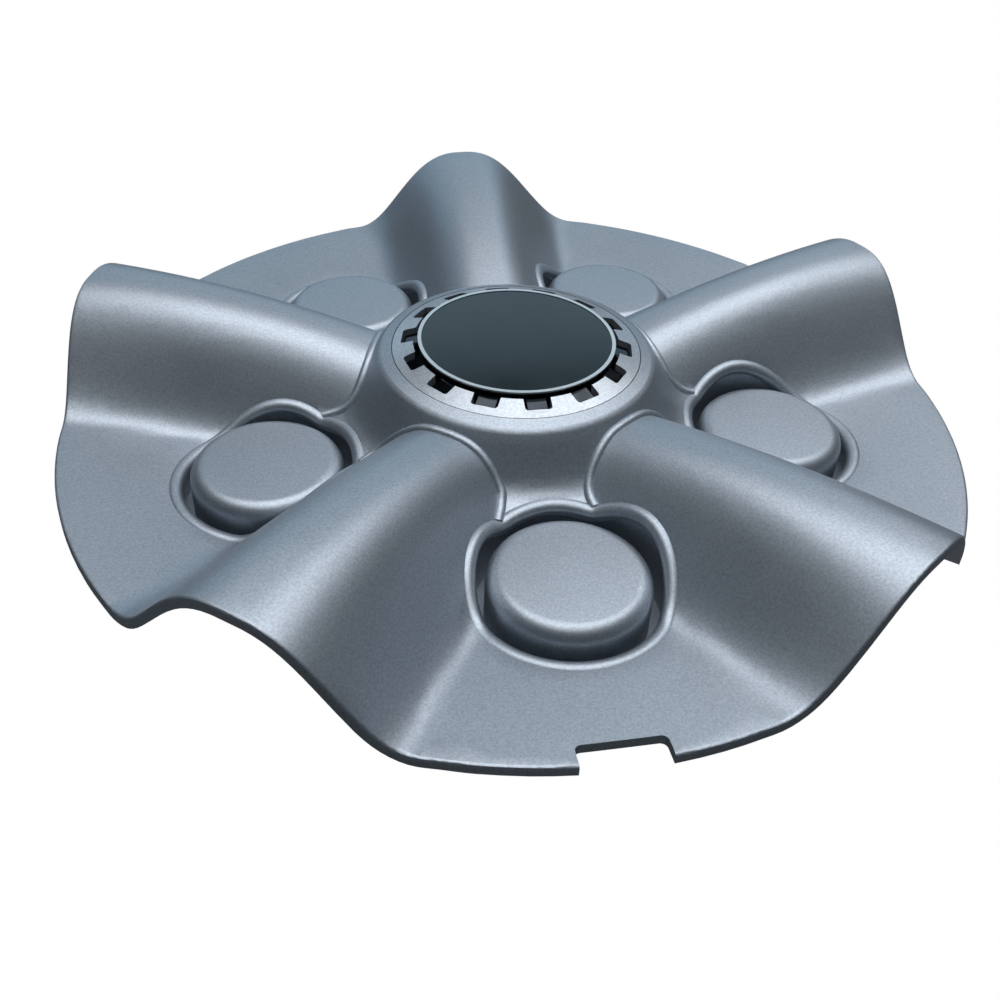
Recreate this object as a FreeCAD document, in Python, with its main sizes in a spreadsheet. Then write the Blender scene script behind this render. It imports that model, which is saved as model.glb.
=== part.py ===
import FreeCAD, Part
import math
import os
import Sketcher
from FreeCAD import Placement, Rotation, Vector

# Wheel center cap: one moulded shell with five wave ridges and five lug covers,
# and a round badge of three inserts in the hub. Millimetres, +Z outward from the wheel.
# The origin is on the wheel axis, in the plane where the rim's underside seats.

doc = FreeCAD.newDocument("wheel_center_cap")
sheet = doc.addObject("Spreadsheet::Sheet", "Sizes")

SIZES = [
    # rim and shell
    ("outer_radius", 97.5),
    ("wall", 2.0),
    ("rim_top_height", 2.5),
    ("rim_edge_round", 0.6),
    ("valley_slope", 0.12),
    # wave ridges, one between each pair of lug covers
    ("crest_height", 22.7),
    ("crest_drop", 7.2),
    ("crest_turn", -1.7),
    ("wave_width_rim", 30.5),
    ("wave_width_hub", 24.6),
    ("steep_flank_power", 1.4),
    ("gentle_flank_power", 1.2),
    # lug covers, on the stud circle of a five-stud wheel
    ("stud_circle_radius", 57.15),
    ("moat_radius", 18.0),
    ("moat_lip_round", 1.4),
    ("hub_lip_round", 1.0),
    ("moat_floor_height", -7.5),
    ("cover_radius", 15.5),
    ("cover_top_height", 4.05),
    ("cover_edge_round", 3.0),
    # hub
    ("hub_top_radius", 30.2),
    ("hub_top_height", 15.7),
    ("hub_knee_radius", 36.6),
    ("hub_knee_height", 5.0),
    ("hub_skirt_radius", 47.0),
    ("hub_skirt_height", 2.1),
    ("hub_edge_round", 2.2),
    ("hub_flare_round", 9.0),
    # recess for the badge in the top of the hub
    ("badge_seat_radius", 27.2),
    ("badge_seat_edge_height", 16.75),
    ("badge_seat_height", 13.5),
    # pry notch in the rim
    ("notch_width", 15.2),
    ("notch_depth", 4.6),
    ("notch_corner_round", 1.2),
    # snap legs for a 67.1 mm hub bore
    ("leg_outer_radius", 33.0),
    ("leg_thickness", 2.6),
    ("leg_width", 11.0),
    ("leg_root_height", 12.0),
    ("leg_end_height", -20.0),
    ("leg_barb", 1.2),
    ("leg_barb_height", 5.0),
    # toothed badge ring
    ("ring_outer_radius", 27.0),
    ("ring_edge_height", 16.75),
    ("ring_tooth_radius", 22.5),
    ("ring_tooth_height", 18.25),
    ("slot_end_radius", 25.1),
    ("slot_width", 5.6),
    ("slot_corner_round", 0.7),
    # bright badge base with a castle block in each slot
    ("base_radius", 21.5),
    ("base_top_height", 19.1),
    ("base_lip", 0.8),
    ("block_radius", 24.7),
    ("block_width", 5.0),
    ("block_inner_height", 17.7),
    ("block_end_height", 16.4),
    ("block_chamfer", 0.5),
    # black badge disc
    ("disc_thickness", 1.8),
    ("disc_gap", 0.1),
    ("disc_below_lip", 0.15),
]

for row, (name, value) in enumerate(SIZES, 1):
    sheet.set("A%d" % row, name)
    sheet.set("B%d" % row, str(value))
    sheet.setAlias("B%d" % row, name)
doc.recompute()


def size(name):
    """One driving size, as the sheet has it."""
    return float(sheet.get(name))


COUNT = 5
STEP = 360.0 / COUNT
TEETH = 14
FRONT = -90.0

# Forms of the wave: how its crest falls, how its width grows from the hub, and how far the
# surface runs under the hub and past the rim before it is trimmed

CREST_CURVE = 0.49
WAVE_FOOT_RADIUS = 40.0
WIDTH_CURVE = 1.7
FACE_START = 26.0
FACE_SPARE = 6.0
WAVE_DEPTH = 45.0
HOLLOW_DEPTH = 70.0


# Wave ridges: height of the moulded face at a radius and at an angle from a lug cover

def valley_height(radius):
    """Height of the low ground between two waves: it falls gently towards the hub."""
    return size("rim_top_height") - size("valley_slope") * (size("outer_radius") - radius)


def crest_line(radius):
    """Height of a wave's crest: level at the rim and falling ever faster inward."""
    inward = (size("outer_radius") - radius) / (size("outer_radius") - size("stud_circle_radius"))
    return size("crest_height") - CREST_CURVE * size("crest_drop") * inward * inward


def half_width(radius):
    """Width of a wave from its crest to its foot, a little wider at the rim."""
    outward = (radius - WAVE_FOOT_RADIUS) / (size("outer_radius") - WAVE_FOOT_RADIUS)
    grown = max(outward, 0.0) ** WIDTH_CURVE
    return size("wave_width_hub") + (size("wave_width_rim") - size("wave_width_hub")) * grown


def bell(distance, width, power):
    """Share of the full height at a distance from the crest, 1 on it and 0 at the foot."""
    part = min(abs(distance) / width, 1.0)
    return 0.5 * (1.0 + math.cos(math.pi * part ** power))


def face_height(radius, angle):
    """Height of the moulded face; the two waves beside a lug cover share the ground."""
    width = half_width(radius)
    low = math.radians(-STEP / 2 + size("crest_turn"))
    high = math.radians(STEP / 2 + size("crest_turn"))
    rise = bell(radius * math.sin(angle - low), width, size("steep_flank_power"))
    rise += bell(radius * math.sin(high - angle), width, size("gentle_flank_power"))
    floor = valley_height(radius)
    return floor + (crest_line(radius) - floor) * min(rise, 1.0)


def face_point(radius, angle, depth):
    """A point under the face, a depth away from it along its own normal."""
    step = 0.01
    height = face_height(radius, angle)
    by_radius = (face_height(radius + step, angle) - face_height(radius - step, angle)) / (2 * step)
    turn = step / radius
    around = (face_height(radius, angle + turn) - face_height(radius, angle - turn)) / (2 * step)
    low = math.radians(-STEP / 2 + size("crest_turn"))
    high = math.radians(STEP / 2 + size("crest_turn"))
    if angle - low < 1e-6 or high - angle < 1e-6:
        around = 0.0
    out = Vector(math.cos(angle), math.sin(angle), 0)
    side = Vector(-math.sin(angle), math.cos(angle), 0)
    normal = Vector(0, 0, 1) - out * by_radius - side * around
    normal.normalize()
    return out * radius + Vector(0, 0, height) - normal * depth


def wave_face(depth):
    """One fifth of the face, from crest to crest, as a smooth surface."""
    inner = FACE_START
    outer = size("outer_radius") + FACE_SPARE
    rows = 12
    columns = 29
    low = math.radians(-STEP / 2 + size("crest_turn"))
    grid = []
    for row in range(rows):
        radius = inner + (outer - inner) * row / (rows - 1)
        line = []
        for column in range(columns):
            angle = low + math.radians(STEP) * column / (columns - 1)
            line.append(face_point(radius, angle, depth))
        grid.append(line)
    surface = Part.BSplineSurface()
    surface.interpolate(grid)
    return surface.toShape()


def all_round(shape):
    """Copies of a shape, one for each lug cover."""
    copies = []
    for index in range(COUNT):
        copy = shape.copy()
        copy.rotate(Vector(0, 0, 0), Vector(0, 0, 1), FRONT + STEP * index)
        copies.append(copy)
    return copies


def shape_feature(name, shape):
    """A document object for a shape that no other feature can make."""
    feature = doc.addObject("Part::Feature", name)
    feature.Shape = shape
    return feature


def wave_solid(depth, drop):
    """The whole face carried straight down to make a solid."""
    sectors = all_round(wave_face(depth).extrude(Vector(0, 0, -drop)))
    return sectors[0].multiFuse(sectors[1:]).removeSplitter()


# Small helpers: sums of sheet names give a number now and an expression for later

def number(word):
    """The number of one word: a figure, a size or a size over a figure."""
    if "/" in word:
        whole, parts = word.split("/")
        return number(whole) / float(parts)
    return float(word) if word[0].isdigit() else size(word)


def value(text):
    """The number that a sum of sizes comes to now."""
    total = 0.0
    sign = 1.0
    for word in text.split():
        if word in ("+", "-"):
            sign = 1.0 if word == "+" else -1.0
        else:
            total += sign * number(word)
            sign = 1.0
    return total


def bound(text):
    """The same sum as an expression on the sheet."""
    return " ".join("Sizes." + word if word[0].isalpha() else word for word in text.split())


def origin_plane(body, role):
    return [item for item in body.Origin.OriginFeatures if item.Role == role][0]


def new_body(name):
    """A body that may hold several lumps, as a pattern of legs does."""
    body = doc.addObject("PartDesign::Body", name)
    body.AllowCompound = True
    return body


def new_sketch(body, name, role):
    sketch = body.newObject("Sketcher::SketchObject", name)
    sketch.AttachmentSupport = [(origin_plane(body, role), "")]
    sketch.MapMode = "FlatFace"
    return sketch


def pin(sketch, kind, index, text, name):
    """Ties one corner of an outline to a sum of sizes along one axis."""
    axis = -2 if kind == "DistanceX" else -1
    if abs(value(text)) < 1e-9:
        sketch.addConstraint(Sketcher.Constraint("PointOnObject", index, 1, axis))
        return
    place = sketch.addConstraint(Sketcher.Constraint(kind, -1, 1, index, 1, value(text)))
    sketch.renameConstraint(place, name)
    sketch.setExpression("Constraints." + name, bound(text))


def outline(body, name, role, corners):
    """A closed outline of straight sides with every corner tied to the sheet."""
    sketch = new_sketch(body, name, role)
    spots = [Vector(value(x), value(y), 0) for x, y in corners]
    count = len(spots)
    for index in range(count):
        sketch.addGeometry(Part.LineSegment(spots[index], spots[(index + 1) % count]), False)
    for index in range(count):
        after = (index + 1) % count
        sketch.addConstraint(Sketcher.Constraint("Coincident", index, 2, after, 1))
    for index, (x, y) in enumerate(corners):
        pin(sketch, "DistanceX", index, x, "x%d" % index)
        pin(sketch, "DistanceY", index, y, "y%d" % index)
    doc.recompute()
    return sketch


def revolve(body, name, sketch, axis):
    turn = body.newObject("PartDesign::Revolution", name)
    turn.Profile = sketch
    turn.ReferenceAxis = axis
    turn.Angle = 360
    doc.recompute()
    return turn


def round_edges(body, name, base, radius, wanted):
    """Rounds the edges that a test picks."""
    names = []
    for index, edge in enumerate(base.Shape.Edges, 1):
        if wanted(edge):
            names.append("Edge%d" % index)
    fillet = body.newObject("PartDesign::Fillet", name)
    fillet.Base = (base, names)
    fillet.setExpression("Radius", "Sizes." + radius)
    doc.recompute()
    return fillet


def ring_edge(radius, height):
    """A test for the round edge at a radius and a height."""
    def wanted(edge):
        curve = edge.Curve
        return (isinstance(curve, Part.Circle) and abs(curve.Radius - radius) < 1e-3
                and abs(curve.Center.z - height) < 1e-3)
    return wanted


def joined(kind, name, parts):
    """A cut, a common part or a union of document objects."""
    feature = doc.addObject(kind, name)
    if kind in ("Part::Cut", "Part::Common"):
        feature.Base, feature.Tool = parts
    else:
        feature.Shapes = parts
    feature.Refine = False
    doc.recompute()
    return feature


# Wave ridges, as a solid under the moulded face and as the hollow behind it

wave_fill = shape_feature("wave_fill", wave_solid(0.0, WAVE_DEPTH))
wave_hollow = shape_feature("wave_hollow", wave_solid(size("wall"), HOLLOW_DEPTH))


def upright(name, radius, bottom, top, reach, angle):
    """A cylinder that stands at a reach and an angle from the axis."""
    post = doc.addObject("Part::Cylinder", name)
    post.setExpression("Radius", bound(radius))
    post.setExpression("Height", bound(top) + " - (" + bound(bottom) + ")")
    turn = "%.6f" % math.cos(math.radians(angle))
    cross = "%.6f" % math.sin(math.radians(angle))
    if reach:
        post.setExpression("Placement.Base.x", bound(reach) + " * (" + turn + ")")
        post.setExpression("Placement.Base.y", bound(reach) + " * (" + cross + ")")
    post.setExpression("Placement.Base.z", bound(bottom))
    post.Placement.Rotation = Rotation(Vector(0, 0, 1), angle)
    return post


def lug_posts(name, radius, bottom, top):
    """One cylinder on each stud position."""
    posts = []
    for index in range(COUNT):
        angle = FRONT + STEP * index
        posts.append(upright("%s_%d" % (name, index), radius, bottom, top,
                             "stud_circle_radius", angle))
    return joined("Part::MultiFuse", name, posts)


rim_disc = upright("rim_disc", "outer_radius", "- 120", "120", "", FRONT + STEP / 2 + size("crest_turn"))
doc.recompute()
wave_trim = joined("Part::Common", "wave_trim", [wave_fill, rim_disc])
moat_bores = lug_posts("moat_bores", "moat_radius", "- 120", "120")


def fillet_feature(name, base, radius, wanted):
    edges = []
    for index, edge in enumerate(base.Shape.Edges, 1):
        if edge.Length > 0.01 and wanted(edge):
            edges.append((index, size(radius), size(radius)))
    feature = doc.addObject("Part::Fillet", name)
    feature.Base = base
    feature.Edges = edges
    doc.recompute()
    return feature


def samples(edge):
    start = edge.FirstParameter
    span = edge.LastParameter - start
    return [edge.valueAt(start + span * part) for part in (0.1, 0.37, 0.63, 0.9)]


def on_rim(edge):
    points = samples(edge)
    return (all(abs(math.hypot(p.x, p.y) - size("outer_radius")) < 0.02 for p in points)
            and min(p.z for p in points) > -5 and edge.Length > 60)


def on_moat(edge):
    points = samples(edge)
    for index in range(COUNT):
        angle = math.radians(FRONT + STEP * index)
        x = size("stud_circle_radius") * math.cos(angle)
        y = size("stud_circle_radius") * math.sin(angle)
        if all(abs(math.hypot(p.x - x, p.y - y) - size("moat_radius")) < 0.02 for p in points):
            return min(p.z for p in points) > -18
    return False


wave_rimmed = fillet_feature("wave_rimmed", wave_trim, "rim_edge_round", on_rim)
wave_bored = joined("Part::Cut", "wave_bored", [wave_rimmed, moat_bores])
wave_lipped = fillet_feature("wave_lipped", wave_bored, "moat_lip_round", on_moat)

# Hub: a cone with a rounded shoulder and a flared skirt, open at the top for the badge

hub = new_body("hub")
hub_outline = outline(hub, "hub_outline", "XZ_Plane", [
    ("0", "badge_seat_height"),
    ("badge_seat_radius", "badge_seat_height"),
    ("badge_seat_radius", "badge_seat_edge_height"),
    ("hub_top_radius", "hub_top_height"),
    ("hub_knee_radius", "hub_knee_height"),
    ("hub_skirt_radius", "hub_skirt_height"),
    ("hub_skirt_radius", "- 40"),
    ("0", "- 40"),
])
hub_turn = revolve(hub, "hub_turn", hub_outline, (hub_outline, ["V_Axis"]))
hub_shoulder = round_edges(hub, "hub_shoulder", hub_turn, "hub_edge_round",
                           ring_edge(size("hub_top_radius"), size("hub_top_height")))
hub_flare = round_edges(hub, "hub_flare", hub_shoulder, "hub_flare_round",
                        ring_edge(size("hub_knee_radius"), size("hub_knee_height")))
hub_bored = joined("Part::Cut", "hub_bored", [hub, moat_bores])
hub_lipped = fillet_feature("hub_lipped", hub_bored, "hub_lip_round", on_moat)
outer_fill = joined("Part::MultiFuse", "outer_fill", [wave_lipped, hub_lipped])

# Hollow back: the same faces one wall deeper, kept clear of the lug pockets

hub_core = new_body("hub_core")
hub_core_outline = outline(hub_core, "hub_core_outline", "XZ_Plane", [
    ("0", "badge_seat_height - wall"),
    ("hub_top_radius - wall", "badge_seat_height - wall"),
    ("hub_knee_radius - wall", "hub_knee_height - wall"),
    ("hub_skirt_radius - wall", "hub_skirt_height - wall"),
    ("hub_skirt_radius - wall", "- 60"),
    ("0", "- 60"),
])
hub_core_turn = revolve(hub_core, "hub_core_turn", hub_core_outline, (hub_core_outline, ["V_Axis"]))
pockets = lug_posts("pockets", "moat_radius + wall", "moat_floor_height - wall", "60")
hub_back = joined("Part::Cut", "hub_back", [hub_core, pockets])
wave_back = joined("Part::Cut", "wave_back", [wave_hollow, pockets])
skin_hub = joined("Part::Cut", "skin_hub", [outer_fill, hub_back])
skin = joined("Part::Cut", "skin", [skin_hub, wave_back])

# Lug covers: round buttons standing in their moats, hollow for the nut below

covers = new_body("covers")
cover_outline = outline(covers, "cover_outline", "XZ_Plane", [
    ("stud_circle_radius", "cover_top_height"),
    ("stud_circle_radius + cover_radius", "cover_top_height"),
    ("stud_circle_radius + cover_radius", "moat_floor_height"),
    ("stud_circle_radius + moat_radius + 1", "moat_floor_height"),
    ("stud_circle_radius + moat_radius + 1", "moat_floor_height - wall"),
    ("stud_circle_radius + cover_radius - wall", "moat_floor_height - wall"),
    ("stud_circle_radius + cover_radius - wall", "cover_top_height - wall"),
    ("stud_circle_radius", "cover_top_height - wall"),
])
cover_axis = cover_outline.addGeometry(Part.LineSegment(
    Vector(size("stud_circle_radius"), -20, 0), Vector(size("stud_circle_radius"), 20, 0)), True)
cover_outline.addConstraint(Sketcher.Constraint("Vertical", cover_axis))
cover_outline.addConstraint(Sketcher.Constraint("PointOnObject", 0, 1, cover_axis))
doc.recompute()
cover_turn = revolve(covers, "cover_turn", cover_outline, (cover_outline, ["Axis0"]))


def cover_rim(edge):
    curve = edge.Curve
    return (isinstance(curve, Part.Circle) and abs(curve.Radius - size("cover_radius")) < 1e-3
            and abs(curve.Center.z - size("cover_top_height")) < 1e-3)


cover_round = round_edges(covers, "cover_round", cover_turn, "cover_edge_round", cover_rim)


def patterned(body, name, count):
    pattern = body.newObject("PartDesign::PolarPattern", name)
    pattern.TransformMode = "Whole shape"
    pattern.Axis = (origin_plane(body, "Z_Axis"), [""])
    pattern.Angle = 360
    pattern.Occurrences = count
    body.Tip = pattern
    doc.recompute()
    return pattern


def turned(body, angle):
    body.Placement = Placement(Vector(0, 0, 0), Rotation(Vector(0, 0, 1), angle))
    doc.recompute()


def pad(body, name, sketch, length):
    feature = body.newObject("PartDesign::Pad", name)
    feature.Profile = sketch
    feature.setExpression("Length", bound(length))
    feature.Midplane = True
    doc.recompute()
    return feature


patterned(covers, "cover_pattern", COUNT)
turned(covers, FRONT)

# Snap legs, one under each wave ridge, with a barb that grips the hub bore

legs = new_body("legs")
leg_outline = outline(legs, "leg_outline", "XZ_Plane", [
    ("leg_outer_radius - leg_thickness", "leg_root_height"),
    ("leg_outer_radius", "leg_root_height"),
    ("leg_outer_radius", "leg_end_height + leg_barb_height"),
    ("leg_outer_radius + leg_barb", "leg_end_height + leg_barb_height - leg_barb"),
    ("leg_outer_radius + leg_barb", "leg_end_height + leg_barb_height - leg_barb - leg_barb/2"),
    ("leg_outer_radius - leg_barb/2", "leg_end_height"),
    ("leg_outer_radius - leg_thickness", "leg_end_height"),
])
leg_pad = pad(legs, "leg_pad", leg_outline, "leg_width")
patterned(legs, "leg_pattern", COUNT)
turned(legs, FRONT + STEP / 2)

# Pry notch in the rim below the front lug cover

notch = new_body("notch")
notch_outline = outline(notch, "notch_outline", "XY_Plane", [
    ("outer_radius - notch_depth", "- notch_width/2"),
    ("outer_radius + 5", "- notch_width/2"),
    ("outer_radius + 5", "notch_width/2"),
    ("outer_radius - notch_depth", "notch_width/2"),
])
notch_pad = pad(notch, "notch_pad", notch_outline, "30")


def notch_corner(edge):
    ends = [vertex.Point for vertex in edge.Vertexes]
    inner = size("outer_radius") - size("notch_depth")
    return len(ends) == 2 and all(abs(p.x - inner) < 1e-3 for p in ends) and abs(ends[0].z - ends[1].z) > 1


notch_round = round_edges(notch, "notch_round", notch_pad, "notch_corner_round", notch_corner)
turned(notch, FRONT)

skin_notched = joined("Part::Cut", "skin_notched", [skin, notch])
skin_covered = joined("Part::MultiFuse", "skin_covered", [skin_notched, covers])
skin_legged = joined("Part::MultiFuse", "skin_legged", [skin_covered, legs])
whole = max(skin_legged.Shape.Solids, key=lambda solid: solid.Volume)
cap_shell = shape_feature("cap_shell", whole)

# Toothed badge ring: a shallow cone with parallel slots open to the inside

ring_turn_body = new_body("ring_blank")
ring_outline = outline(ring_turn_body, "ring_outline", "XZ_Plane", [
    ("ring_tooth_radius", "badge_seat_height"),
    ("ring_outer_radius", "badge_seat_height"),
    ("ring_outer_radius", "ring_edge_height"),
    ("ring_tooth_radius", "ring_tooth_height"),
])
ring_turn = revolve(ring_turn_body, "ring_turn", ring_outline, (ring_outline, ["V_Axis"]))
slots = new_body("slots")
slot_outline = outline(slots, "slot_outline", "XY_Plane", [
    ("ring_tooth_radius - 3", "- slot_width/2"),
    ("slot_end_radius", "- slot_width/2"),
    ("slot_end_radius", "slot_width/2"),
    ("ring_tooth_radius - 3", "slot_width/2"),
])
slot_pad = pad(slots, "slot_pad", slot_outline, "80")


def slot_corner(edge):
    ends = [vertex.Point for vertex in edge.Vertexes]
    outer = size("slot_end_radius")
    return len(ends) == 2 and all(abs(p.x - outer) < 1e-3 for p in ends) and abs(ends[0].z - ends[1].z) > 1


slot_round = round_edges(slots, "slot_round", slot_pad, "slot_corner_round", slot_corner)
patterned(slots, "slot_pattern", TEETH)
turned(slots, FRONT)
badge_ring = joined("Part::Cut", "badge_ring", [ring_turn_body, slots])

# Bright badge base: a cup for the disc, with a castle block in each slot of the ring

base_cup = new_body("base_cup")
base_outline = outline(base_cup, "base_outline", "XZ_Plane", [
    ("0", "badge_seat_height"),
    ("base_radius", "badge_seat_height"),
    ("base_radius", "base_top_height"),
    ("base_radius - base_lip", "base_top_height"),
    ("base_radius - base_lip", "base_top_height - disc_below_lip - disc_thickness"),
    ("0", "base_top_height - disc_below_lip - disc_thickness"),
])
base_turn = revolve(base_cup, "base_turn", base_outline, (base_outline, ["V_Axis"]))
blocks = new_body("blocks")
block_outline = outline(blocks, "block_outline", "XZ_Plane", [
    ("base_radius - 1", "badge_seat_height"),
    ("block_radius", "badge_seat_height"),
    ("block_radius", "block_end_height"),
    ("base_radius - 1", "block_inner_height"),
])
block_pad = pad(blocks, "block_pad", block_outline, "block_width")


def block_top(edge):
    ends = [vertex.Point for vertex in edge.Vertexes]
    return (min(p.z for p in ends) > size("badge_seat_height") + 1
            and max(p.x for p in ends) > size("base_radius"))


names = []
for index, edge in enumerate(block_pad.Shape.Edges, 1):
    if block_top(edge):
        names.append("Edge%d" % index)
block_bevel = blocks.newObject("PartDesign::Chamfer", "block_bevel")
block_bevel.Base = (block_pad, names)
block_bevel.setExpression("Size", "Sizes.block_chamfer")
doc.recompute()
patterned(blocks, "block_pattern", TEETH)
turned(blocks, FRONT)
badge_base = joined("Part::MultiFuse", "badge_base", [base_cup, blocks])

# Black badge disc, lying in the cup of the base

badge_disc = doc.addObject("Part::Cylinder", "badge_disc")
badge_disc.setExpression("Radius", bound("base_radius - base_lip - disc_gap"))
badge_disc.setExpression("Height", bound("disc_thickness"))
badge_disc.setExpression("Placement.Base.z", bound("base_top_height - disc_below_lip - disc_thickness"))
doc.recompute()

# Every object must be sound before the pieces are written

NODES = [cap_shell, badge_ring, badge_base, badge_disc]
for item in doc.Objects:
    if "Invalid" in item.State or "Error" in item.State:
        raise ValueError(item.Name + " did not build")
for node in NODES:
    if node.Shape.isNull() or not node.Shape.isValid() or len(node.Shape.Solids) != 1:
        raise ValueError(node.Name + " is not one sound solid")

os.makedirs("parts", exist_ok=True)
for node in NODES:
    node.Label = node.Name
    node.Shape.exportStep("parts/%s.step" % node.Label)
    print(node.Label, round(node.Shape.Volume, 1), "mm3")
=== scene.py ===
import math

import bmesh
import bpy
from mathutils import Matrix, Vector
from mathutils.bvhtree import BVHTree


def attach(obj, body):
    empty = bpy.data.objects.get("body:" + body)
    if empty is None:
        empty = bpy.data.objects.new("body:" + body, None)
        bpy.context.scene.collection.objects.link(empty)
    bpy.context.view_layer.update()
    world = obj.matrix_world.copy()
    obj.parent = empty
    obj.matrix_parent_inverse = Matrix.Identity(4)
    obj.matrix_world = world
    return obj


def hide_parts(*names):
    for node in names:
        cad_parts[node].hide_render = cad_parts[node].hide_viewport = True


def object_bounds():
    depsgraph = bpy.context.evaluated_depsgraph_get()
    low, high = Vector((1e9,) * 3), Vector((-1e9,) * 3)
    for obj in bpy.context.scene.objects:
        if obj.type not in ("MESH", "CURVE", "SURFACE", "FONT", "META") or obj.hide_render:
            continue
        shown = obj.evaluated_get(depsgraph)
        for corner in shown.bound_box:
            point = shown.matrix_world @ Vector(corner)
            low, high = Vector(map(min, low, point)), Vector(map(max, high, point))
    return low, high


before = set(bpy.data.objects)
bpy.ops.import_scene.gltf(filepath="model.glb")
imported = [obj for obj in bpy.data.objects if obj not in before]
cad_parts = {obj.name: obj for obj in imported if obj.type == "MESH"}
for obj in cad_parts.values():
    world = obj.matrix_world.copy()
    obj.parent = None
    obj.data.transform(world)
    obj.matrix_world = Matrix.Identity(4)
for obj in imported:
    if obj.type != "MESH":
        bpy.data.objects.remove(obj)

# %% [markdown]
# A wheel center cap is one moulded plastic shell, painted a satin metallic silver, with a
# small badge set into its hub: a painted ring with teeth, a plated base between the teeth
# and a gloss black disc. The solids of the frame carry the real shapes, so this lesson
# keeps their meshes. It adds the thin rolled lips of the moulding, and then gives the cap
# its paint, its plating, the gloss of the disc and the soft light that rolls over the waves.

# %% Units and the size of the model as it came

MM = 0.001
SIZE_AT_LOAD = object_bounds()

print("frame nodes:", sorted(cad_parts))
print("box at load:", [tuple(round(v / MM, 1) for v in corner) for corner in SIZE_AT_LOAD], "mm")

# %% [markdown]
# Every finish on the cap is a Principled shader with noise behind it. Noise on the Object
# coordinates sticks to the piece, and its scale comes from a real width in millimetres. One
# function adds any node, with its settings and links, so a finish reads as a list of what
# goes into what. Noise mostly lies between 0.3 and 0.7, so that stretch is spread out to
# the two ends of each colour or roughness.

# %% Colours and shader nodes

NOISE_LOW = 0.3
NOISE_HIGH = 0.7
GRAINS_PER_CYCLE = 0.5


def colour(code):
    """Linear colour, with alpha, from an sRGB hex code."""
    parts = [int(code[i:i + 2], 16) / 255.0 for i in (0, 2, 4)]
    linear = [p / 12.92 if p <= 0.04045 else ((p + 0.055) / 1.055) ** 2.4 for p in parts]
    return (linear[0], linear[1], linear[2], 1.0)


def add(tree, kind, inputs=None, output=None, **settings):
    """Adds a node and gives back one of its outputs, the first live one if none is named.

    Sockets go by their identifiers. An input is a plain value, or the output that feeds it.
    """
    node = tree.nodes.new(kind)
    for name, value in settings.items():
        setattr(node, name, value)
    sockets = {socket.identifier: socket for socket in node.inputs}
    for name, value in (inputs or {}).items():
        if isinstance(value, bpy.types.NodeSocket):
            tree.links.new(value, sockets[name])
        else:
            sockets[name].default_value = value
    live = [socket for socket in node.outputs if socket.enabled]
    return next((socket for socket in live if output in (None, socket.identifier)), None)


def fineness(width):
    """Scale of a noise whose grains are about as wide as a real width."""
    return GRAINS_PER_CYCLE / width


def between(noise, low=0.0, high=1.0):
    """Inputs of a range node that takes noise to a stretch from low to high."""
    return {"Value": noise, "From Min": NOISE_LOW, "From Max": NOISE_HIGH, "To Min": low, "To Max": high}


def start_material(name):
    """An empty material, its node tree, and the place of each point on the piece."""
    made = bpy.data.materials.new(name)
    made.use_nodes = True
    made.node_tree.nodes.clear()
    return made, made.node_tree, add(made.node_tree, "ShaderNodeTexCoord", output="Object")


def wear(node, made):
    """Gives every face of a frame node the material, in the node's own slot."""
    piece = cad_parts[node]
    for slot in piece.material_slots:
        slot.material = made
    print(node, "wears", made.name)


# %% [markdown]
# The shell's paint is a base coat full of tiny aluminium flakes under a thin satin
# lacquer. Flakes make it brighten where it faces the light and fall dark on steep flanks,
# so it is nearly a metal with a broad highlight rather than a plain grey. Real flakes are a
# few hundredths of a millimetre wide, too fine to show, so they are drawn coarser here. A
# very shallow relief stands for the orange peel that sprayed lacquer always has.

# %% Satin silver paint on moulded ABS

FLAKE_SIZE = 0.22 * MM
CLOUD_SIZE = 22.0 * MM
PEEL_SIZE = 0.6 * MM
PEEL_DEPTH = 0.0015 * MM

paint, tree, place = start_material("satin silver paint on ABS")
flakes = add(tree, "ShaderNodeTexNoise", {"Vector": place, "Scale": fineness(FLAKE_SIZE), "Detail": 1.0})
clouds = add(tree, "ShaderNodeTexNoise", {"Vector": place, "Scale": fineness(CLOUD_SIZE), "Detail": 2.0})
peel = add(tree, "ShaderNodeTexNoise", {"Vector": place, "Scale": fineness(PEEL_SIZE), "Detail": 2.0})
silver = add(tree, "ShaderNodeMix", {"Factor_Float": add(tree, "ShaderNodeMapRange", between(flakes)),
                                     "A_Color": colour("949da7"), "B_Color": colour("a6afb9")},
             data_type="RGBA")
shader = add(tree, "ShaderNodeBsdfPrincipled", {
    "Base Color": silver,
    "Metallic": 0.9,
    "Roughness": add(tree, "ShaderNodeMapRange", between(clouds, 0.45, 0.51)),
    "Coat Weight": 0.15,
    "Coat Roughness": 0.35,
    "Normal": add(tree, "ShaderNodeBump", {"Strength": 1.0, "Distance": PEEL_DEPTH, "Height": peel}),
})
add(tree, "ShaderNodeOutputMaterial", {"Surface": shader})
wear("cap_shell", paint)

# %% [markdown]
# On the real moulding every lug pocket has a raised, rounded lip that catches the light as a
# thin bright line. Its path is a circle seen from above, and its height follows the waves.
# The height is found by looking straight down at the shell's own face a little outside the
# pocket, and by running the slope there back to the path.

# %% Paths of the lug pockets' lips

STUD_CIRCLE = 57.15 * MM
POCKET_RADIUS = 18.0 * MM
LUGS = 5
STEP = math.tau / LUGS
FRONT = -math.pi / 2
LOOK_FROM = 60.0 * MM
LIP_POINTS = 120
LIP_OUT = 0.9 * MM
LIP_NEAR = 1.5 * MM
LIP_FAR = 2.5 * MM
LIP_SMOOTHING = 3

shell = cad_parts["cap_shell"]
face = BVHTree.FromObject(shell, bpy.context.evaluated_depsgraph_get())


def towards(turn):
    """A flat direction at an angle from the +X axis."""
    return Vector((math.cos(turn), math.sin(turn)))


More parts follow.
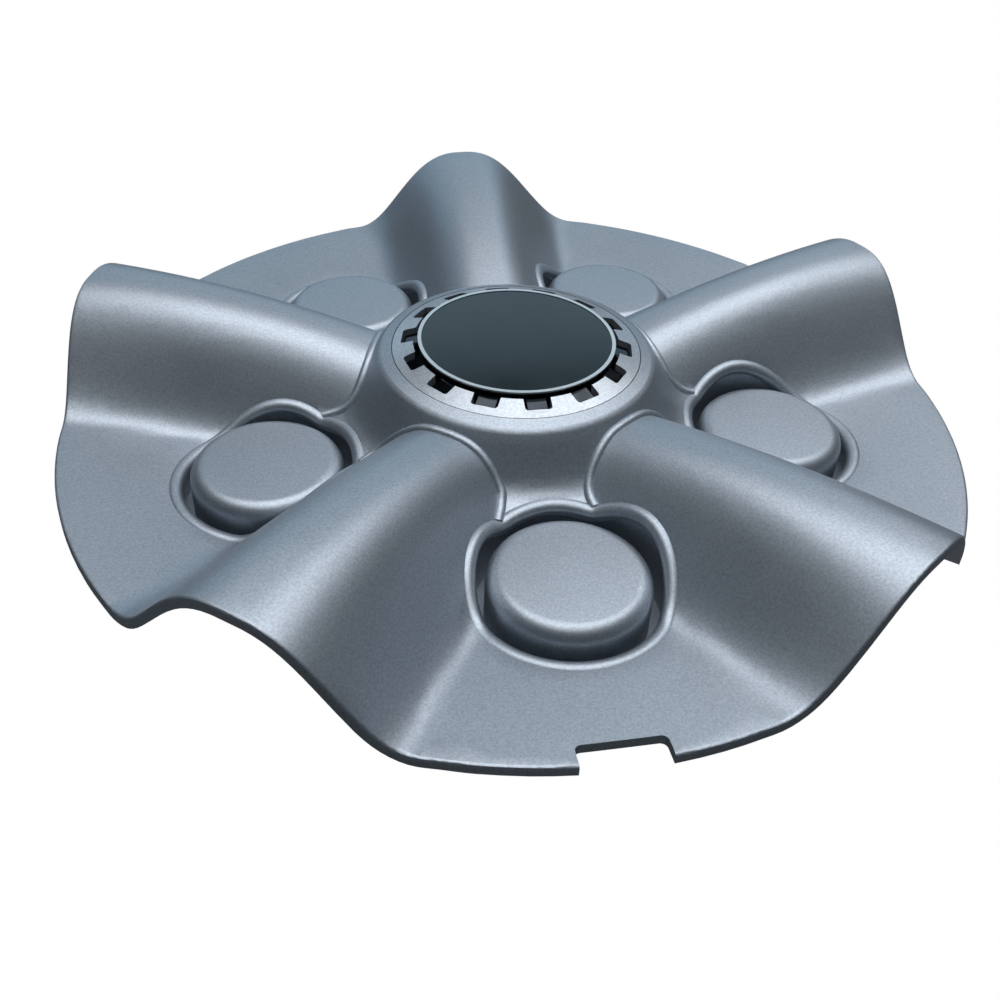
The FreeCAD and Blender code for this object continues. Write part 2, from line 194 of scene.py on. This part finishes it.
def height_at(x, y):
    """Height of the shell's outer face straight under a point."""
    hit = face.ray_cast(Vector((x, y, LOOK_FROM)), Vector((0.0, 0.0, -1.0)))
    return hit[0].z


def lip_path(lug):
    """The closed path of one pocket's lip, on the shell's face."""
    middle = towards(FRONT + lug * STEP) * STUD_CIRCLE
    path = []
    for i in range(LIP_POINTS):
        out = towards(math.tau * i / LIP_POINTS)
        near = height_at(*(middle + out * (POCKET_RADIUS + LIP_NEAR)))
        far = height_at(*(middle + out * (POCKET_RADIUS + LIP_FAR)))
        slope = (far - near) / (LIP_FAR - LIP_NEAR)
        spot = middle + out * (POCKET_RADIUS + LIP_OUT)
        path.append(Vector((spot.x, spot.y, near - slope * (LIP_NEAR - LIP_OUT))))
    return path


def smoothed(path, closed, times):
    """The path with each point moved between its neighbours."""
    for _ in range(times):
        last = len(path) - 1
        path = [p if not closed and i in (0, last)
                else (path[i - 1] + 2.0 * p + path[(i + 1) % len(path)]) / 4.0
                for i, p in enumerate(path)]
    return path


lips = [smoothed(lip_path(lug), True, LIP_SMOOTHING) for lug in range(LUGS)]
print("lips:", len(lips), "with", LIP_POINTS, "points each")

# %% [markdown]
# The foot of the hub ends in the same kind of roll where it meets a wave. Its path is the
# crease between cone and wave, which is where the face turns up most sharply. The crease is
# found on top of the wave first, along a ray from the axis. It is then followed both ways:
# from ray to ray while it runs round the hub, and from arc to arc where it turns outwards,
# until it reaches the lip of a pocket.

# %% Paths of the hub's foot over the waves

CREST_TURN = math.radians(-1.7)
FOOT_NEAR = 30.6 * MM
FOOT_FAR = 47.5 * MM
HUB_KNEE = 36.6 * MM
FOOT_STEP = 0.4 * MM
LOOKS_PER_STEP = 4
FOOT_TURN = math.radians(0.5)
FOOT_ARC = math.radians(1.5)
ARC_LOOKS = 12
FOOT_REACH = 1.0 * MM
FOOT_SLACK = 0.08 * MM
FOOT_SOFTEST = 0.15
FOOT_SMOOTHING = 4


def along_ray(turn, near, far):
    """Places to look at on a ray from the axis, each with a neighbour on both sides."""
    places = round(LOOKS_PER_STEP * (far - near) / FOOT_STEP)
    return [[towards(turn) * (near + FOOT_STEP * (i / LOOKS_PER_STEP + k)) for k in (-1, 0, 1)]
            for i in range(places)]


def along_arc(radius, turn):
    """Places to look at on an arc around the axis, each with a neighbour on both sides."""
    return [[towards(turn + FOOT_ARC * i / ARC_LOOKS + k * FOOT_STEP / radius) * radius
             for k in (-1, 0, 1)]
            for i in range(-ARC_LOOKS, ARC_LOOKS + 1)]


def sharpest_hollow(places):
    """The place where the face turns up most, and how sharply it does."""
    best, most = None, 0.0
    for before, here, after in places:
        level = height_at(*here)
        hollow = (height_at(*before) - 2.0 * level + height_at(*after)) / FOOT_STEP
        if hollow > most:
            best, most = Vector((*here, level)), hollow
    return best, most


def clear_of_pockets(spot):
    """True if a point lies outside every lug pocket and its lip."""
    studs = [towards(FRONT + lug * STEP) * STUD_CIRCLE for lug in range(LUGS)]
    return min((spot.xy - stud).length for stud in studs) > POCKET_RADIUS + LIP_OUT


def foot_path(wave):
    """The open path where the hub's cone turns into one wave, followed both ways from its top."""
    crest = FRONT + (wave + 0.5) * STEP + CREST_TURN
    top, _ = sharpest_hollow(along_ray(crest, FOOT_NEAR, FOOT_FAR))
    sides = []
    for way in (-1, 1):
        side, radius, turn = [], top.xy.length, crest
        while radius < HUB_KNEE:
            turn += way * FOOT_TURN
            spot, hollow = sharpest_hollow(along_ray(turn, radius - FOOT_SLACK, radius + FOOT_REACH))
            if hollow < FOOT_SOFTEST or not clear_of_pockets(spot):
                break
            radius = spot.xy.length
            side.append(spot)
        while radius < FOOT_FAR:
            radius += FOOT_STEP
            spot, hollow = sharpest_hollow(along_arc(radius, turn))
            if hollow < FOOT_SOFTEST or not clear_of_pockets(spot):
                break
            turn = math.atan2(spot.y, spot.x)
            side.append(spot)
        sides.append(side)
    return sides[0][::-1] + [top] + sides[1]


feet = [smoothed(foot_path(wave), False, FOOT_SMOOTHING) for wave in range(LUGS)]
print("feet:", len(feet), "with", [len(foot) for foot in feet], "points")

# %% [markdown]
# A roll is a round bar swept along its path, and the lips are sunk so far that only a low
# round back stands out of the face. The rolls are part of the one moulding, so they are
# joined to a copy of the shell's mesh, and this copy is shown in place of the frame's shell.
# The copy's loose triangles are welded first. It is then shaded smooth, with only its real
# edges sharp, and a bar has enough sides to stay on the smooth side of that limit.

# %% The shell with its rolled lips

LIP_ROLL = 1.7 * MM
LIP_SUNK = 0.78 * LIP_ROLL
FOOT_ROLL = 1.05 * MM
ROLL_ROUNDNESS = 14
WELD = 0.001 * MM
SHARP = math.radians(15.0)


def roll(name, path, radius, closed):
    """A round bar along a path, as a mesh."""
    curve = bpy.data.curves.new(name, "CURVE")
    curve.dimensions = "3D"
    curve.bevel_depth = radius
    curve.bevel_resolution = ROLL_ROUNDNESS
    curve.use_fill_caps = not closed
    line = curve.splines.new("POLY")
    line.points.add(len(path) - 1)
    for point, spot in zip(line.points, path):
        point.co = (*spot, 1.0)
    line.use_cyclic_u = closed
    bar = bpy.data.objects.new(name, curve)
    bpy.context.scene.collection.objects.link(bar)
    bpy.context.view_layer.update()
    made = bpy.data.meshes.new_from_object(bar.evaluated_get(bpy.context.evaluated_depsgraph_get()))
    bpy.data.objects.remove(bar)
    return made


moulding = bmesh.new()
moulding.from_mesh(shell.data)
bmesh.ops.remove_doubles(moulding, verts=moulding.verts, dist=WELD)
bmesh.ops.recalc_face_normals(moulding, faces=moulding.faces)
for lip, foot in zip(lips, feet):
    sunk = [spot - Vector((0.0, 0.0, LIP_SUNK)) for spot in lip]
    moulding.from_mesh(roll("pocket lip", sunk, LIP_ROLL, True))
    moulding.from_mesh(roll("hub foot", foot, FOOT_ROLL, False))
moulded = bpy.data.meshes.new("moulded shell")
moulding.to_mesh(moulded)
moulding.free()
moulded.shade_smooth()
moulded.set_sharp_from_angle(angle=SHARP)
moulded.materials.append(paint)
cap = bpy.data.objects.new("moulded_shell", moulded)
bpy.context.scene.collection.objects.link(cap)
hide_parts("cap_shell")
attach(cap, "root")
print("moulded shell:", len(moulded.polygons), "faces")

# %% [markdown]
# The toothed ring of the badge is the same silver as the shell, but it is drawn in a
# lighter colour as painted sheen, for the brighter light that it catches. It is a smoother
# silver, a small part sprayed on its own, so its gloss is a little higher. Its flakes, too,
# are drawn coarser than real ones so that they show.

# %% Silver paint on the toothed ring, lightened as painted sheen

RING_FLAKE = 0.25 * MM
RING_CLOUD = 4.0 * MM
RING_PEEL = 0.6 * MM
RING_PEEL_DEPTH = 0.004 * MM

ring_paint, tree, place = start_material("silver paint on ring with painted sheen")
flakes = add(tree, "ShaderNodeTexNoise", {"Vector": place, "Scale": fineness(RING_FLAKE), "Detail": 1.0})
clouds = add(tree, "ShaderNodeTexNoise", {"Vector": place, "Scale": fineness(RING_CLOUD), "Detail": 2.0})
peel = add(tree, "ShaderNodeTexNoise", {"Vector": place, "Scale": fineness(RING_PEEL), "Detail": 2.0})
# Both colours are lighter than the shell's silver: painted sheen on the ring.
silver = add(tree, "ShaderNodeMix", {"Factor_Float": add(tree, "ShaderNodeMapRange", between(flakes)),
                                     "A_Color": colour("a0a8b1"), "B_Color": colour("b6bdc5")},
             data_type="RGBA")
shader = add(tree, "ShaderNodeBsdfPrincipled", {
    "Base Color": silver,
    "Metallic": 0.7,
    "Roughness": add(tree, "ShaderNodeMapRange", between(clouds, 0.32, 0.4)),
    "Normal": add(tree, "ShaderNodeBump", {"Strength": 1.0, "Distance": RING_PEEL_DEPTH, "Height": peel}),
})
add(tree, "ShaderNodeOutputMaterial", {"Surface": shader})
wear("badge_ring", ring_paint)

# %% [markdown]
# The base with its small blocks is plated: a smooth chrome mirror that takes the dark of
# the table in front and the bright of the light above. Its colour is darkened as painted
# shade, which stands in for the shadow in the gaps round the blocks and for reflections
# darker than the lights give. Plating over moulded plastic is never quite flat, so a
# shallow wave bends the reflections. The thin lip around the disc is worn bright and a
# little satin, so it catches the light all the way round. It is picked out by its height.

# %% Chrome plating on the badge base, darkened as painted shade

SMUDGE_SIZE = 3.0 * MM
PLATING_WAVE = 2.0 * MM
PLATING_WAVE_DEPTH = 0.006 * MM
LIP_FOOT = 18.6 * MM
LIP_EDGE = 0.2 * MM
LIP_ROUGHNESS = 0.38

chrome, tree, place = start_material("chrome plating with painted shade")
smudge = add(tree, "ShaderNodeTexNoise", {"Vector": place, "Scale": fineness(SMUDGE_SIZE), "Detail": 2.0})
wave = add(tree, "ShaderNodeTexNoise", {"Vector": place, "Scale": fineness(PLATING_WAVE), "Detail": 2.0})
on_lip = add(tree, "ShaderNodeMapRange", {
    "Value": add(tree, "ShaderNodeSeparateXYZ", {"Vector": place}, output="Z"),
    "From Min": LIP_FOOT, "From Max": LIP_FOOT + LIP_EDGE})
# The two dark colours are painted shade on the chrome; only the lip keeps the bright plating.
dark = add(tree, "ShaderNodeMix", {"Factor_Float": add(tree, "ShaderNodeMapRange", between(smudge)),
                                   "A_Color": colour("2a2d31"), "B_Color": colour("3a3e43")},
           data_type="RGBA")
plating = add(tree, "ShaderNodeMix", {"Factor_Float": on_lip, "A_Color": dark, "B_Color": colour("e4e9ea")},
              data_type="RGBA")
satin = add(tree, "ShaderNodeMix", {"Factor_Float": on_lip, "B_Float": LIP_ROUGHNESS,
                                    "A_Float": add(tree, "ShaderNodeMapRange", between(smudge, 0.06, 0.12))})
shader = add(tree, "ShaderNodeBsdfPrincipled", {
    "Base Color": plating,
    "Metallic": 1.0,
    "Roughness": satin,
    "Normal": add(tree, "ShaderNodeBump", {"Strength": 1.0, "Distance": PLATING_WAVE_DEPTH, "Height": wave}),
})
add(tree, "ShaderNodeOutputMaterial", {"Surface": shader})
wear("badge_base", chrome)

# %% [markdown]
# The disc is smooth gloss black, with a faint blue-green cast where it mirrors the room.
# Only tiny differences in gloss keep it from looking like a flat colour, as dust and
# wiping leave on any polished face.

# %% Gloss black on the disc

HAZE_SIZE = 9.0 * MM
DISC_WAVE = 12.0 * MM
DISC_WAVE_DEPTH = 0.01 * MM

black, tree, place = start_material("gloss black disc")
haze = add(tree, "ShaderNodeTexNoise", {"Vector": place, "Scale": fineness(HAZE_SIZE), "Detail": 3.0})
wave = add(tree, "ShaderNodeTexNoise", {"Vector": place, "Scale": fineness(DISC_WAVE), "Detail": 2.0})
ink = add(tree, "ShaderNodeMix", {"Factor_Float": add(tree, "ShaderNodeMapRange", between(haze)),
                                  "A_Color": colour("0c1619"), "B_Color": colour("111d21")},
          data_type="RGBA")
shader = add(tree, "ShaderNodeBsdfPrincipled", {
    "Base Color": ink,
    "Roughness": add(tree, "ShaderNodeMapRange", between(haze, 0.12, 0.2)),
    "Specular IOR Level": 0.6,
    "Normal": add(tree, "ShaderNodeBump", {"Strength": 1.0, "Distance": DISC_WAVE_DEPTH, "Height": wave}),
})
add(tree, "ShaderNodeOutputMaterial", {"Surface": shader})
wear("badge_disc", black)

# %% [markdown]
# The photo is a plain product picture on white. A floor stands under the cap, and the
# camera sees white there and behind it, while the cap itself sees a grey room: the white
# comes from the kind of ray, so it adds no light to the paint. From below the floor is clear
# and lets light through, as a glass table does, so the back of the cap can be looked at too.

# %% Floor and background

FLOOR_HALF = 1.5
FLOOR_GAP = 0.2 * MM

floor_mesh = bpy.data.meshes.new("floor")
grid = bmesh.new()
bmesh.ops.create_grid(grid, x_segments=1, y_segments=1, size=FLOOR_HALF)
bmesh.ops.translate(grid, verts=grid.verts, vec=(0.0, 0.0, SIZE_AT_LOAD[0][2] - FLOOR_GAP))
grid.to_mesh(floor_mesh)
grid.free()
floor = bpy.data.objects.new("floor", floor_mesh)
bpy.context.scene.collection.objects.link(floor)
floor.visible_shadow = False


def white_for_camera(tree, seen, other):
    """White for rays straight from the camera, and the other shader for the rest."""
    straight = add(tree, "ShaderNodeLightPath", output="Is Camera Ray")
    return add(tree, "ShaderNodeMixShader", {"Fac": straight, "Shader": other, "Shader_001": seen})


backdrop, tree, _ = start_material("pale studio floor")
glow = add(tree, "ShaderNodeEmission", {"Color": colour("ffffff"), "Strength": 1.0})
matt = add(tree, "ShaderNodeBsdfDiffuse", {"Color": colour("4c4f52"), "Roughness": 0.6})
one_way = add(tree, "ShaderNodeMixShader", {
    "Fac": add(tree, "ShaderNodeNewGeometry", output="Backfacing"),
    "Shader": white_for_camera(tree, glow, matt),
    "Shader_001": add(tree, "ShaderNodeBsdfTransparent")})
add(tree, "ShaderNodeOutputMaterial", {"Surface": one_way})
floor.data.materials.append(backdrop)

world = bpy.data.worlds.new("studio")
bpy.context.scene.world = world
world.use_nodes = True
tree = world.node_tree
tree.nodes.clear()
white = add(tree, "ShaderNodeBackground", {"Color": colour("ffffff"), "Strength": 1.0})
room = add(tree, "ShaderNodeBackground", {"Color": colour("6a737d"), "Strength": 0.3})
add(tree, "ShaderNodeOutputWorld", {"Surface": white_for_camera(tree, white, room)})
print("floor and backdrop ready")

# %% [markdown]
# The highlights tell where the light stands. Faces that lean a little towards the camera
# are the brightest, level faces are mid grey, and steep flanks are dark. So two soft boxes
# hang overhead, a long one to the right and a small one to the left, and the low front and
# left stay dark. A faint cool panel stands low at the back: the disc mirrors it, and its
# upper edge makes the disc fade from blue-grey at the far side to black at the near one.
# A last soft box under the table only reaches the back of the cap.

# %% Studio lights


def soft_light(name, place, aim, wide, deep, watts, turn=0.0, tint="ffffff"):
    """A rectangular soft box that looks at a point, turned about its own axis."""
    data = bpy.data.lights.new(name, "AREA")
    data.shape = "RECTANGLE"
    data.size = wide
    data.size_y = deep
    data.energy = watts
    data.color = colour(tint)[:3]
    lamp = bpy.data.objects.new(name, data)
    lamp.location = place
    lamp.rotation_euler = (Vector(aim) - Vector(place)).to_track_quat("-Z", "Y").to_euler()
    lamp.rotation_euler.rotate_axis("Z", math.radians(turn))
    lamp.visible_camera = False
    bpy.context.scene.collection.objects.link(lamp)


soft_light("right soft box", (0.25, 0.1, 0.7), (0.25, 0.1, 0.0), 1.1, 0.5, 5.0, turn=38.0)
soft_light("left soft box", (-0.14, 0.13, 0.7), (-0.14, 0.13, 0.0), 0.55, 0.45, 2.1)
soft_light("back panel", (0.0, 1.0, 0.42), (0.0, 0.0, 0.0), 1.6, 0.46, 2.3, tint="bddef2")
soft_light("table light", (0.0, 0.0, -0.6), (0.0, 0.0, 0.0), 1.0, 1.0, 4.0)
print("lights set:", len(bpy.data.lights))

# %% [markdown]
# The camera stands where the photographer stood: low in front, a little to the left, with
# the frame shifted down from the axis of the lens and the picture turned by a small roll.

# %% Camera at the photo's angle

EYE = Vector((-42.01, -193.52, 139.11)) * MM
AIM = Vector((-3.91, 0.85, 2.5)) * MM
ROLL = math.radians(2.57)

ahead = (AIM - EYE).normalized()
right = ahead.cross(Vector((0.0, 0.0, 1.0))).normalized()
up = right.cross(ahead)
turned_right = math.cos(ROLL) * right + math.sin(ROLL) * up
turned_up = math.cos(ROLL) * up - math.sin(ROLL) * right

lens = bpy.data.cameras.new("photo camera")
lens.sensor_width = 36.0
lens.lens = 38.336
lens.shift_x = 0.00444
lens.shift_y = -0.10137
lens.clip_start = 0.01
camera = bpy.data.objects.new("photo camera", lens)
pose = Matrix((turned_right, turned_up, -ahead)).transposed().to_4x4()
pose.translation = EYE
camera.matrix_world = pose
bpy.context.scene.collection.objects.link(camera)
bpy.context.scene.camera = camera
bpy.context.scene.view_settings.view_transform = "Standard"
print("camera", round((AIM - EYE).length / MM), "mm from the middle of the cap")
